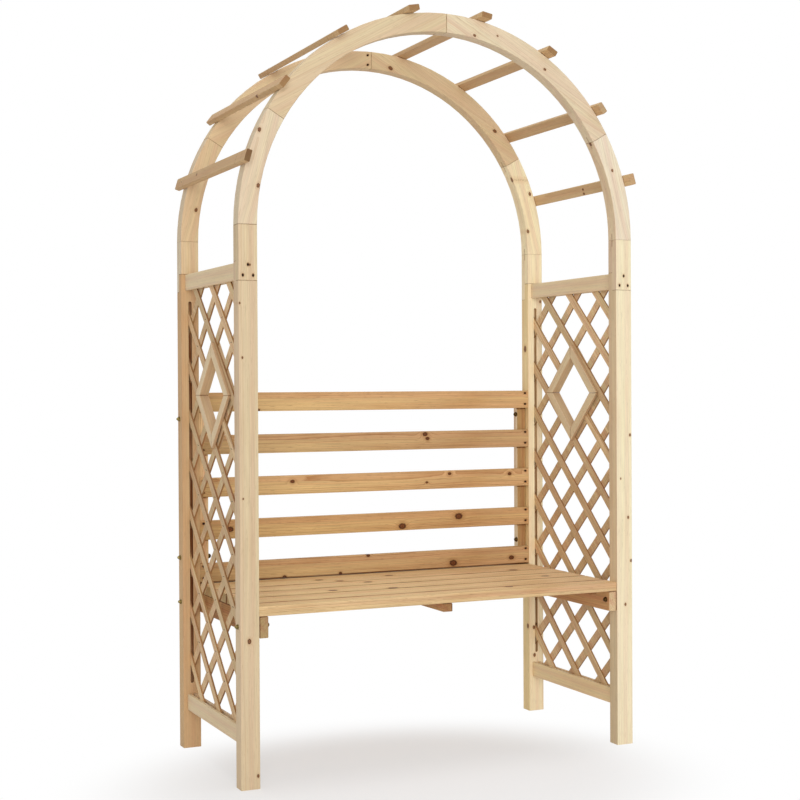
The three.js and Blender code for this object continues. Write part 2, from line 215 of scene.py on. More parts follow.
world = bpy.data.worlds.new("studio")
world.use_nodes = True
tree = world.node_tree
tree.nodes.clear()
level = add(tree, "MapRange", [looked_at(tree), 0, 1, ROOM_LEVEL, 1])
room = add(tree, "Background", {"Color": linear("#ffffff"), "Strength": level})
fill(tree, tree.nodes.new("ShaderNodeOutputWorld"), [room])
bpy.context.scene.world = world

# %% [markdown]
# ## A knot in a board
# A knot is the root of a branch: a cone of dark wood that crosses the board, with the grain
# flowing round it. Here it is a straight rod through the board, or one that ends at a set depth,
# for the stain round a screw and the painted shade in its recess. The group passes on how far away
# the nearest knot is, in knot radii, and how much the year rings bulge on their way round it.

# %% Make the knot group
FAR = 9  # knot radii, further than a knot can be seen in the wood
OVAL = (0.72, 1, 1)  # a knot is longer along the grain than across it
OUTLINE_SCALE, OUTLINE_SWAY = 0.35, 0.5  # per mm and in knot radii: how ragged a knot's outline is
BULGE_HEIGHT, BULGE_FALL = 1.7, 0.22  # how far rings swing round a knot, in radii, and how soon they settle


def new_group(name, inputs, outputs):
    """An empty node group with named inputs and outputs."""
    tree = bpy.data.node_groups.new(name, "ShaderNodeTree")
    for way, sockets in (("INPUT", inputs), ("OUTPUT", outputs)):
        for socket, kind in sockets.items():
            tree.interface.new_socket(socket, in_out=way, socket_type="NodeSocket" + kind)
    return tree, tree.nodes.new("NodeGroupInput").outputs, tree.nodes.new("NodeGroupOutput").inputs

knot_group, given, result = new_group(
    "spruce_knot",
    {
        "Board": "Vector", "Middle": "Vector", "Branch": "Vector", "Radius": "Float", "Reach": "Float",
        "Near": "Float", "Bulge": "Float",
    },
    {"Near": "Float", "Bulge": "Float"},
)
tree, board, branch, radius = knot_group, given["Board"], given["Branch"], given["Radius"]
offset = add(tree, "VectorMath SUBTRACT", [board, given["Middle"]])
depth = add(tree, "VectorMath DOT_PRODUCT", [offset, branch], "Value")
inward = add(tree, "VectorMath SCALE", {0: branch, "Scale": depth})
sideways = add(tree, "VectorMath SUBTRACT", [offset, inward])
flattened = add(tree, "VectorMath MULTIPLY", [sideways, OVAL])
away = add(tree, "VectorMath LENGTH", [flattened], "Value")
in_radii = add(tree, "Math DIVIDE", [away, radius])
along = add(tree, "Math ABSOLUTE", [depth])
past_end = add(tree, "Math GREATER_THAN", [along, given["Reach"]])
ratio = add(tree, "Math MULTIPLY_ADD", [past_end, FAR, in_radii])
outline = add(tree, "TexNoise", {"Vector": board, "Scale": OUTLINE_SCALE, "Detail": 1})
ragged = add(tree, "Math MULTIPLY_ADD", [outline, OUTLINE_SWAY, ratio])
trimmed = add(tree, "Math SUBTRACT", [ragged, OUTLINE_SWAY / 2])
nearest = add(tree, "Math MINIMUM", [trimmed, given["Near"]])
squared = add(tree, "Math MULTIPLY", [ratio, ratio])
falloff = add(tree, "Math MULTIPLY", [squared, -BULGE_FALL])
swell = add(tree, "Math EXPONENT", [falloff])
tall = add(tree, "Math MULTIPLY", [radius, BULGE_HEIGHT])
bulged = add(tree, "Math MULTIPLY_ADD", [swell, tall, given["Bulge"]])
tree.links.new(nearest, result["Near"])
tree.links.new(bulged, result["Bulge"])
print("knot group nodes:", len(tree.nodes))

# %% [markdown]
# ## Planed spruce
# Spruce is pale wood with a thin honey-brown line for each summer's end. Those lines are shells
# round the heart of the tree, and a board is a box cut out of them. So the pattern is worked out
# in three dimensions, in millimetres from the heart: long flames on a flat-sawn face, straight
# lines on the edge and arcs on the end all come from one rule. The surface is satin: planed, not
# varnished, with the harder summer lines standing a hair proud and a little smoother.

# %% Make the spruce group
SWAY = 20  # mm, how far the shells wander across the board
RIPPLE = 0.6  # years, how much the rings wave
SUMMER_POWER = 3.2  # the higher, the later in the year a ring darkens
STRAW, ROSY, DUSKY = (1.04, 1.08, 0.98), (0.98, 0.87, 0.83), (0.86, 0.80, 0.72)  # tints of the wood
RESIN = "#7a5230"
EVEN_TONE = 0.91  # the mean tone of wood whose grain is held back
HALO, KNOT_PALE, KNOT_DARK = (0.95, 0.90, 0.85), (0.52, 0.36, 0.27), (0.22, 0.11, 0.07)  # of summer wood
BARK = (0.13, 0.06, 0.03)
KNOT_RINGS = 12  # radians of ring for each knot radius
# the colour of a dusty seam, and of the shade painted under and between parts
SEAM_AND_SHADE_TINT = (0.30, 0.15, 0.06)

spruce_group, given, result = new_group(
    "planed_spruce",
    {
        "Board": "Vector", "Heart": "Vector", "Year": "Float", "Near": "Float", "Bulge": "Float",
        "Early wood": "Color", "Late wood": "Color", "Figure": "Float",
        "End": "Float", "End tint": "Color", "Seam": "Float",
    },
    {"Colour": "Color", "Roughness": "Float", "Height": "Float"},
)
wood = spruce_group
board, late_wood, near = given["Board"], given["Late wood"], given["Near"]


def stretched(length, width, detail, output=0, **more):
    """Noise whose patches are about this long and wide, in mm."""
    scaled = add(wood, "VectorMath MULTIPLY", [board, (1 / length, 1 / width, 1 / width)])
    return add(wood, "TexNoise", {"Vector": scaled, "Scale": 1, "Detail": detail, **more}, output)


def washed(colour, share, wash, tint):
    """A colour with a share of another one over it, which is tinted first."""
    tinted = add(wood, "VectorMath MULTIPLY", [wash, tint])
    return add(wood, "Mix", {0: share, 6: colour, 7: tinted}, 2, data_type="RGBA")


# The tree's own unevenness bends the shells slowly along the board, in millimetres.
bend = stretched(700, 160, 1.5, "Color")
drift = add(wood, "VectorMath MULTIPLY_ADD", [bend, (0, SWAY, SWAY), (0, -SWAY / 2, -SWAY / 2)])
from_heart = add(wood, "VectorMath SUBTRACT", [board, given["Heart"]])
across = add(wood, "VectorMath MULTIPLY_ADD", [from_heart, (0, 1, 1), drift])
radius = add(wood, "VectorMath LENGTH", [across], "Value")
lifted = add(wood, "Math ADD", [radius, given["Bulge"]])
years = add(wood, "Math DIVIDE", [lifted, given["Year"]])
ripple = stretched(110, 7, 2)
age = add(wood, "Math MULTIPLY_ADD", [ripple, RIPPLE, years])

# Each ring darkens slowly to its summer line and then starts again, some years more than others.
season = add(wood, "Math FRACT", [age])
summer = add(wood, "Math POWER", [season, SUMMER_POWER])
year = add(wood, "Math FLOOR", [age])
weather = add(wood, "TexWhiteNoise", {"W": year}, noise_dimensions="1D")
hot_year = add(wood, "MapRange", [weather, 0, 1, 0.2, 1])
late = add(wood, "Math MULTIPLY", [summer, hot_year])

# Fibres and the small dark dashes of the resin ducts. Real ones are finer than a tenth of a
# millimetre. These are drawn 1.5 to 2.4 mm wide so that they show.
fibre = stretched(150, 2.4, 3, Roughness=0.6)
ducts = stretched(26, 1.5, 1)
duct = add(wood, "MapRange", [ducts, 0.64, 0.74])

# Bands a few years wide run the length of the board, some rosy, some straw-coloured.
band = stretched(1100, 15, 2)
mottle = stretched(210, 45, 2)

# Colour: early wood, summer lines, fibres, bands, and a darker cloud here and there.
grain_colour = add(wood, "Mix", {0: late, 6: given["Early wood"], 7: late_wood}, 2, data_type="RGBA")
streak = add(wood, "MapRange", [fibre, 0.3, 0.7, 0.80, 1.11])
streaked = add(wood, "VectorMath SCALE", {0: grain_colour, "Scale": streak})
to_rosy = add(wood, "MapRange", [band, 0.36, 0.64])
straw = add(wood, "VectorMath MULTIPLY", [streaked, STRAW])
banded = washed(straw, to_rosy, streaked, ROSY)
cloud = add(wood, "MapRange", [mottle, 0.5, 0.72, 0, 0.8])
clouded = washed(banded, cloud, banded, DUSKY)
dash = add(wood, "Math MULTIPLY", [duct, 0.45])
dashed = add(wood, "Mix", {0: dash, 6: clouded, 7: linear(RESIN)}, 2, data_type="RGBA")
even = add(wood, "VectorMath SCALE", {0: given["Early wood"], "Scale": EVEN_TONE})
figured = add(wood, "Mix", {0: given["Figure"], 6: even, 7: dashed}, 2, data_type="RGBA")

# Knot: a stained halo, a dark rim of bark, and fine rings of its own inside, all in shades of the
# board's own summer wood, so that a pale board has paler knots.
halo = add(wood, "MapRange", [near, 1, 2.4, 0.55, 0])
stained = washed(figured, halo, late_wood, HALO)
knot_rings = add(wood, "Math MULTIPLY", [near, KNOT_RINGS])
knot_wave = add(wood, "Math SINE", [knot_rings])
knot_tone = add(wood, "MapRange", [knot_wave, -1, 1])
knot_pale = add(wood, "VectorMath MULTIPLY", [late_wood, KNOT_PALE])
knot_wood = washed(knot_pale, knot_tone, late_wood, KNOT_DARK)
inside = add(wood, "MapRange", [near, 0.75, 1.05, 1, 0])
knotted = add(wood, "Mix", {0: inside, 6: stained, 7: knot_wood}, 2, data_type="RGBA")
from_rim = add(wood, "Math SUBTRACT", [near, 0.9])
rim_away = add(wood, "Math ABSOLUTE", [from_rim])
rim = add(wood, "MapRange", [rim_away, 0, 0.35, 0.95, 0])
rimmed = washed(knotted, rim, late_wood, BARK)

# End grain drinks the light: the same rings, in a tint of its own.
ended = washed(rimmed, given["End"], rimmed, given["End tint"])

# Where two boards meet, dust and shadow draw a brown line that comes and goes. That shadow is painted here, as
# is the shade under and between parts.
patchy = add(wood, "MapRange", [ripple, 0.38, 0.6, 0.55, 1])
seam_and_shade = add(wood, "Math MULTIPLY", [given["Seam"], patchy])
seamed_and_shaded = washed(ended, seam_and_shade, ended, SEAM_AND_SHADE_TINT)

# Satin, with the summer lines and knots smoother, and a knot's rim sunk a little.
dull = add(wood, "MapRange", [fibre, 0.3, 0.7, 0.56, 0.7])
smoother = add(wood, "Math MULTIPLY_ADD", [late, -0.1, dull])
polished = add(wood, "Math MULTIPLY_ADD", [inside, -0.14, smoother])
proud = add(wood, "Math MULTIPLY_ADD", [late, 0.5, fibre])
sunken = add(wood, "Math MULTIPLY_ADD", [rim, -0.9, proud])
for value, socket in ((seamed_and_shaded, "Colour"), (polished, "Roughness"), (sunken, "Height")):
    wood.links.new(value, result[socket])
print("spruce group nodes:", len(wood.nodes))

# %% [markdown]
# ## The woods
# No two boards come from the same tree, so the wood runs from cream to brown. These are the shades
# that a maker would sort the boards into, each by the colour of its early wood. The summer wood is
# a share of it: deeper in the warm boards of the seat and back rest than in the pale frame.

# %% Name the woods and sort the boards
woods = {
    # name: (early wood, kind of summer wood)
    "cream": ("#f7ebcb", "frame"),
    "butter": ("#fbeac5", "frame"),
    "ivory": ("#eee1cb", "frame"),
    "pale": ("#e2d1b5", "frame"),
    "straw": ("#dac6a5", "frame"),
    "honey": ("#e1c7a0", "frame"),
    "amber": ("#d2af84", "frame"),
    "gold": ("#dbb988", "board"),
    "nut": ("#ccac80", "board"),
    "russet": ("#d5b280", "board"),
    "sand": ("#ebcea0", "board"),
    "greyish": ("#ebd5b2", "smooth"),
    "dusty": ("#e2cdaa", "smooth"),
    "tan": ("#d0af85", "frame"),
    "brown": ("#cc9e70", "board"),
    "umber": ("#b89365", "board"),
}
SUMMER = {
    # kind: share of the early wood's red, green and blue
    "frame": (0.80, 0.66, 0.54),
    "smooth": (0.84, 0.74, 0.64),
    "board": (0.60, 0.42, 0.27),
    "strip": (0.66, 0.50, 0.36),
}
FIGURE = {"frame": 0.55, "smooth": 0.5, "board": 1.0, "strip": 1.0}  # how strongly the grain shows
wood_of = {
    "front_left_post": "straw", "front_left_arch_leg": "straw",
    "front_left_arch_lower": "pale", "front_left_arch_upper": "straw",
    "front_right_post": "cream", "front_right_arch_leg": "cream",
    "front_right_arch_lower": "ivory", "front_right_arch_upper": "pale",
    "back_left_post": "amber", "back_left_arch_leg": "honey",
    "back_left_arch_lower": "honey", "back_left_arch_upper": "honey",
    "back_right_post": "butter", "back_right_arch_leg": "butter",
    "back_right_arch_lower": "butter", "back_right_arch_upper": "honey",
    "back_slat_1": "nut", "back_slat_2": "russet", "back_slat_3": "gold",
    "back_slat_4": "nut", "back_slat_5": "gold",
    "back_left_batten": "sand", "back_right_batten": "umber",
}
CLEAN_END = (0.93, 1.0, 1.0)  # a fresh cut, a little greyer than the wood
GREY_END = (0.55, 0.46, 0.37)  # an end cut tinted darker and browner than the wood
end_of = {
    "rung_1": (0.33, 0.27, 0.21), "rung_7": (0.80, 0.82, 0.85), "rung_8": (0.90, 0.88, 0.88),
    "seat_left_bearer": (0.70, 0.84, 0.92), "seat_right_bearer": (1.14, 1.46, 1.95),
    "seat_middle_bearer": (0.60, 0.56, 0.52),
}
LEFT, FRONT = (-1, 0, 0), (0, -1, 0)
# Painted light and shade: one face of each of these boards is tinted for how brightly it is lit
painted_side_light_of = {
    # name: (the way the face looks that gets painted light or shade, its tint)
    "front_left_post": (LEFT, (1.09, 1.05, 1.08)),
    "front_right_post": (LEFT, (0.80, 0.71, 0.66)),
    "front_right_arch_leg": (LEFT, (0.83, 0.74, 0.75)),
    "front_right_arch_lower": (LEFT, (0.92, 0.84, 0.74)),
    "back_right_post": (LEFT, (0.91, 0.84, 0.70)),
    "back_right_batten": (LEFT, (1.66, 2.2, 3.6)),
    "back_left_batten": (FRONT, (1.20, 1.20, 1.30)),
    "right_lower_rail": (LEFT, (1.12, 1.09, 1.00)),
    "rung_8": (LEFT, (1.10, 1.14, 1.17)),
    "back_left_arch_leg": (LEFT, (1.05, 1.20, 1.45)),
    "back_left_arch_lower": (LEFT, (1.0, 1.08, 1.25)),
    "seat_slat_1": (FRONT, (0.87, 0.82, 0.84)),
}
# Painted shade on the diamond bars' narrow faces that look to the front
DIAMOND_EDGE_SHADE = (FRONT, (0.62, 0.50, 0.41))
LOWER_CHORD, UPPER_CHORD = 105, 151  # degrees, how the right arch segments' chords run


def look_of(name):
    """The wood, the end tint, the grain and the direction of the wide face of a CAD node."""
    shade = wood_of.get(name)
    if name.endswith(("_post", "_arch_leg")):
        return shade, CLEAN_END, Z, X
    if "_arch_" in name:
        side = -1 if "_left_" in name else 1
        rise = math.radians(LOWER_CHORD if "lower" in name else UPPER_CHORD)
        wide = (math.sin(rise), 0, -side * math.cos(rise))
        return shade, CLEAN_END, (side * math.cos(rise), 0, math.sin(rise)), wide
    if name.startswith("rung_"):
        return "tan", end_of.get(name, GREY_END), Y, X
    if "_diamond_" in name:
        rising = name.endswith(("upper_front", "lower_back"))
        shade = "greyish" if name.startswith("left") else "dusty"
        return shade, CLEAN_END, (0, 1, 1 if rising else -1), X
    if name.endswith("_rail"):
        return "greyish", CLEAN_END, Y, Z
    if name.endswith("_batten"):
        return shade, CLEAN_END, Z, X
    if name.startswith("back_slat"):
        return shade, CLEAN_END, X, Z
    if name.endswith("_bearer"):
        return "brown", end_of[name], Y, Z
    return "sand", CLEAN_END, X, Y


print("woods:", ", ".join(woods))

# %% [markdown]
# ## Knots
# The knots are where the photograph shows them, in millimetres from the middle of the feet. The
# small ones on the frame are pin knots.

# %% Place the knots
knots_of = {
    # name: [(x, y, z, radius), ...] in mm
    "back_slat_1": [
        (-275, 229, 459, 4), (-102, 229, 460, 3.5), (-14, 229, 507, 4), (265, 229, 470, 8.5),
        (464, 229, 476, 6),
    ],
    "back_slat_2": [(-437, 229, 602, 7), (97, 229, 588, 8), (284, 229, 610, 8.5)],
    "back_slat_3": [
        (-249, 229, 731, 4.5), (254, 229, 739, 4), (459, 229, 733, 4.5), (178, 229, 715, 3),
    ],
    "back_slat_4": [(173, 229, 859, 5.5), (181, 229, 846, 4.5)],
    "back_slat_5": [(-350, 229, 937, 3)],
    "seat_slat_1": [(214, -209, 454, 8)],
    "seat_slat_3": [(-80, -92, 454, 9), (-245, -64, 454, 8), (417, -56, 454, 8)],
    "seat_slat_4": [(-92, 53, 454, 8)],
    "seat_slat_5": [
        (405, 112, 454, 9), (21, 159, 454, 8), (-198, 156, 454, 8), (-154, 110, 454, 7.5),
    ],
    "front_left_post": [
        (-566, -267, 1075, 2.2), (-572, -267, 1210, 2),
        (-566, -267, 725, 1.8), (-552, -267, 370, 4.5), (-531, -267, 33, 3), (-581, -267, 46, 2.5),
    ],
    "front_right_post": [
        (562, -267, 633, 3), (571, -267, 512, 3), (552, -267, 391, 3), (569, -267, 863, 3),
        (538, -267, 742, 2),
    ],
    "back_right_post": [
        (525, 246, 1115, 6.5), (525, 236, 261, 5), (568, 227, 1261, 3), (543, 227, 171, 4),
        (541, 227, 257, 4),
    ],
    "back_right_arch_leg": [(514, 227, 1376, 3)],
    "front_left_arch_leg": [(-545, -267, 1305.5, 2.2)],
    "front_left_arch_lower": [(-518, -267, 1642, 4), (-522, -267, 1503, 4)],
    "front_right_arch_lower": [(514, -267, 1597, 3), (449, -250, 1671, 5)],
    "front_right_arch_leg": [(521, -250, 1411, 4)],
    "front_right_arch_upper": [(86, -267, 1931, 3), (155, -267, 1936, 2), (300, -267, 1859, 3)],
    "back_right_arch_upper": [(65, 227, 1938, 5), (412, 227, 1776, 4.5)],
    "back_right_arch_lower": [(476, 233, 1632, 5), (533, 227, 1591, 4), (526, 227, 1476, 4)],
    "back_left_arch_lower": [(-531, 227, 1495, 4)],
    "rung_1": [(-560, 108, 1576, 3)],
    "rung_2": [(-470, -128, 1753, 4)],
    "rung_8": [(551, -53, 1572, 3), (551, -53, 1560, 3)],
}
print("knots:", sum(len(knots) for knots in knots_of.values()))

# %% [markdown]
# ## Where the screws go
# Screws hold the laps and the ends of the back slats. Each one bruises the wood when it is driven
# in, and iron and spruce make a dark stain; the same dark disc is painted shade in the screw's
# recess. So the wood needs to know where they are as well.

# %% Say where the screws are
LAP_SCREWS = [(0, 39.8), (-13.5, 13.3), (13.5, 13.3)]  # mm across the leg, and up from its foot
TOP_SCREW_X, TOP_SCREW_RISE = -8, 14  # mm beside the middle, and above or below the middle of the arch
MEAN_RADIUS = 550  # mm, of the arch
SLAT_SCREW_X, SLAT_SCREW_RISES = 514.2, (-14.2, 19)  # mm from the middle of the seat and of the slat
DOWEL_REACH = 20  # mm, the part of a leg's box that is a dowel
STAIN_AND_SHADE, STAIN_AND_SHADE_DEPTH = 3.0, 12  # mm, the radius of the stain and painted shade round a screw, and how deep it goes
BRANCH_LENGTH = 500  # mm, so that a knot goes right through its board
spring_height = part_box("front_left_arch_leg")[1].z / MM - DOWEL_REACH

def screws_of(name, low, high):
    """Which group a board's screws are in, the way that they look, and the middles of their heads."""
    middle = (low + high) / 2
    if name.startswith("back_slat"):
        ends = [(side * SLAT_SCREW_X, rise) for side in (-1, 1) for rise in SLAT_SCREW_RISES]
        return "back_slat_screws", FRONT, [(x, low.y, middle.z + rise) for x, rise in ends]
    facing = -1 if name.startswith("front") else 1
    if name.endswith("_arch_leg"):
        face = low.y if facing < 0 else high.y
        points = [(middle.x - facing * across, face, low.z + up) for across, up in LAP_SCREWS]
        return "lap_screws", (0, facing, 0), points
    if name.endswith("_left_arch_upper"):
        inner_face = (high if facing < 0 else low).y
        height = spring_height + MEAN_RADIUS
        points = [(TOP_SCREW_X, inner_face, height + rise) for rise in (-TOP_SCREW_RISE, TOP_SCREW_RISE)]
        return "top_lap_screws", (0, -facing, 0), points
    return None, None, []


group, outward, points = screws_of("back_slat_1", *box_mm("back_slat_1"))
print("screws in one back slat:", len(points))

# %% [markdown]
# ## Seams and painted shade
# Two boards never close up fully: a dark hairline shows where they meet. On the real seat it is
# the shadow in a gap of half a millimetre, filled with dust. It is drawn in the material of each
# board, as slabs of space that darken what lies in them, wider than the real gap so that it shows.
# The same slabs paint shade where little light reaches: in the gaps of the seat, under the back
# slats, on top of the bearers, in the posts' grooves, on the rearmost seat slat under the back rest
# and along the front of the strip behind it.

# %% List where each board meets its neighbours, and where shade is painted
HAIRLINE = 1.1  # mm, half the width of a seam
EDGE_SEAM = 3.3  # mm, the width of the seam on each of two boards side by side, with dust and painted shade in the gap
UNDER_SLAT = 2  # mm, half the height of the shadow under a slat, and of the one on top of a bearer
BEARER_SIDE = 3  # mm, the width of the seam between a bearer and its post
STRIP_SHADE = 6  # mm, the width of the painted shade along the front of the strip behind the seat
CONTACT = 5  # mm, how far a seam between two faces reaches in from the edge
TENON_LENGTH = 12  # mm
TOP_LAP_LINE, TOP_LAP_END = 4, -20  # mm from the middle
JOINT_ANGLE = math.radians(30.5)
GROOVE_HALF, GROOVE_LIP = 7, 0.6  # mm, half the width and depth of a post's groove, and where it starts
TONGUE_HALF, TONGUE_DEPTH = 2.8, 8  # mm, half the thickness of a tongue's edge, and its depth
INNER_RADIUS = MEAN_RADIUS - 25  # mm, of the arch's inner face
OPEN, CRACKED, SHALLOW, CLOSE, TIGHT = 1.0, 0.7, 0.65, 0.5, 0.2  # how dark a seam, and a patch of painted shade, is
DIAMOND_LOW, DIAMOND_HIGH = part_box("left_diamond_lower_front")[0].z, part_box("left_diamond_upper_front")[1].z
DIAMOND_HEIGHT = (DIAMOND_LOW + DIAMOND_HIGH) / 2 / MM  # mm, the middle of the diamond
back_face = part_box("back_slat_1")[0].y / MM
arch_faces = [corner.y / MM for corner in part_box("back_left_arch_leg")]
slat_bottoms = [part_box(f"back_slat_{i}")[0].z / MM for i in range(1, 6)]

def seams_and_shade_of(name, low, high):
    """Seams and painted shade as (depth, slabs), each slab a direction, a distance along it and half a width.
    """
    spring = (CRACKED if name.startswith("front_left") else TIGHT, [(Z, spring_height, HAIRLINE)])
    middle_y = (low.y + high.y) / 2
    if name.endswith("_post"):
        inward = 1 if "front" in name else -1
        inner_face = high.y if inward > 0 else low.y
        # Painted shade inside the groove that holds the trellis
        across = (X, (low.x + high.x) / 2, GROOVE_HALF)
        inwards = (Y, inner_face - inward * (GROOVE_HALF + GROOVE_LIP), GROOVE_HALF)
        groove = (OPEN if "_left_" in name else SHALLOW, [across, inwards])
        return [(OPEN, [(Z, high.z, HAIRLINE)]), groove]
    side = -1 if "_left_" in name else 1
    tongue = (CLOSE, [
        (Z, spring_height, DOWEL_REACH), (Y, middle_y, TONGUE_HALF), (X, side * INNER_RADIUS, TONGUE_DEPTH),
    ])
    if name.endswith("_arch_leg"):
        return [(OPEN, [(Z, low.z, HAIRLINE)]), spring, tongue]
    if "_arch_" in name:
        across = (-side * math.sin(JOINT_ANGLE), 0, math.cos(JOINT_ANGLE))
        outward = (side * across[2], 0, side * -across[0])
        joint_height = across[2] * spring_height
        seams = [
            (CLOSE, [(across, joint_height, HAIRLINE)]),
            (CLOSE, [
                (across, joint_height, DOWEL_REACH), (Y, middle_y, TONGUE_HALF),
                (outward, outward[2] * spring_height + INNER_RADIUS, TONGUE_DEPTH),
            ]),
        ]
        if "lower" in name:
            return seams + [spring, tongue]
        return seams + [(OPEN, [(X, TOP_LAP_LINE if side < 0 else TOP_LAP_END, 2 * HAIRLINE)])]
    if name.startswith("seat_slat"):
        # Dust and painted shade in the gaps between the seat slats
        seams = [(OPEN, [(Y, high.y, EDGE_SEAM)])]
        if name != "seat_slat_1":
            seams.append((OPEN, [(Y, low.y, EDGE_SEAM)]))
        # Painted shade on the part of the rearmost seat slat that lies under the back rest
        if name == "seat_slat_5":
            seams.append((OPEN, [(Y, (back_face + high.y) / 2, (high.y - back_face) / 2)]))
        return seams
    if name == "back_slat_1":
        # Painted shade under the lowest back slat, just above the seat
        return [(OPEN, [(Z, low.z, EDGE_SEAM)])]
    if name.endswith("_batten"):
        # Painted shadow under each back slat, on the front of the batten
        return [(OPEN, [(Z, z - UNDER_SLAT, UNDER_SLAT), (Y, low.y, CONTACT)]) for z in slat_bottoms]
    if name.endswith("_rail"):
        return [(OPEN, [(Y, end, HAIRLINE)]) for end in (low.y + TENON_LENGTH, high.y - TENON_LENGTH)]
    if "_diamond_" in name:
        return [(OPEN, [(Y, 0, HAIRLINE)]), (OPEN, [(Z, DIAMOND_HEIGHT, HAIRLINE)])]
    if name.endswith("_bearer"):
        outer = low.x if "left" in name else high.x
        # Painted shade on top of the bearer under the seat, and a dark seam against the post
        return [(OPEN, [(Z, high.z, UNDER_SLAT)]), (OPEN, [(X, outer, BEARER_SIDE), (Y, low.y, CONTACT)])]
    if name == "seat_rear_strip":
        # Painted shade along the front of the strip, under the back rest
        return [(OPEN, [(Y, low.y, STRIP_SHADE)])]
    if name.startswith("rung_"):
        return [(CLOSE, [(Y, side * face, HAIRLINE)]) for side in (-1, 1) for face in arch_faces]
    return []


print("spring line of the arch in mm:", round(spring_height))

# %% [markdown]
# ## From a board to its material
# Each piece is a board of its own. Its material knows where the board's middle is, which way the
# grain runs and where the heart of the tree was. The heart is a few centimetres off the board, to
# one side of its wide face, because that is how a saw mill cuts them: mostly straight lines, with
# a flame here and there. The arch is sawn from straight planks, so the grain of each curved
# segment runs along its chord and not round the bend.

# %% Write a material for a board
IOR = 1.5
DRY_SHEEN = 0.2  # the torn fibres of raw wood hold back over half of the mirror-like light
RELIEF = 0.35 * MM  # height of the grain
SEAM_CORE = 0.8  # the share of a seam's width that is fully dark
HEART_ALONG, HEART_ASIDE, HEART_BEHIND = (-900, 900), (16, 70), (20, 60)  # mm from the board's middle
YEAR_WIDTH = (2.4, 4.2)  # mm
BOARD_TONE = (0.98, 1.02)  # how much one board's tone differs from the next

def branch_at(point, low, high):
    """The way a branch runs: square to the face that its knot is seen in."""
    for way, axis in ((Y, 1), (Z, 2)):
        if min(abs(point[axis] - low[axis]), abs(point[axis] - high[axis])) < 1:
            return Vector(way)
    return Vector(X)


def board_space(tree, place, middle, axes):
    """Places in mm from a board's middle, along the board's own axes."""
    return add(tree, "Mapping", {
        "Vector": place, "Location": middle * MM, "Rotation": axes.to_euler(), "Scale": (MM, MM, MM),
    }, vector_type="TEXTURE")


def finish_wood(tree, inputs):
    """The spruce and its satin surface, at the end of every wood material."""
    spruce = add(tree, "Group", node_tree=spruce_group).node
    fill(tree, spruce, inputs)
    colour, roughness, height = (spruce.outputs[key] for key in ("Colour", "Roughness", "Height"))
    bump = add(tree, "Bump", {"Height": height, "Distance": RELIEF, "Strength": 0.7}, "Normal")
    surface = add(tree, "BsdfPrincipled", {
        "Base Color": colour, "Roughness": roughness, "IOR": IOR, "Specular IOR Level": DRY_SHEEN,
        "Normal": bump,
    })
    fill(tree, tree.nodes.new("ShaderNodeOutputMaterial"), [surface])


def darkened(tree, place, seams):
    """How dark the seams and painted shade make a point, and 0 elsewhere."""
    total = 0
    for depth, slabs in seams:
        inside = depth
        for direction, distance, half in slabs:
            along = add(tree, "VectorMath DOT_PRODUCT", [place, direction], "Value")
            off = add(tree, "Math SUBTRACT", [along, distance * MM])
            away = add(tree, "Math ABSOLUTE", [off])
            here = add(tree, "MapRange", [away, SEAM_CORE * half * MM, half * MM, 1, 0])
            inside = add(tree, "Math MULTIPLY", [here, inside])
        total = add(tree, "Math MAXIMUM", [inside, total])
    return total


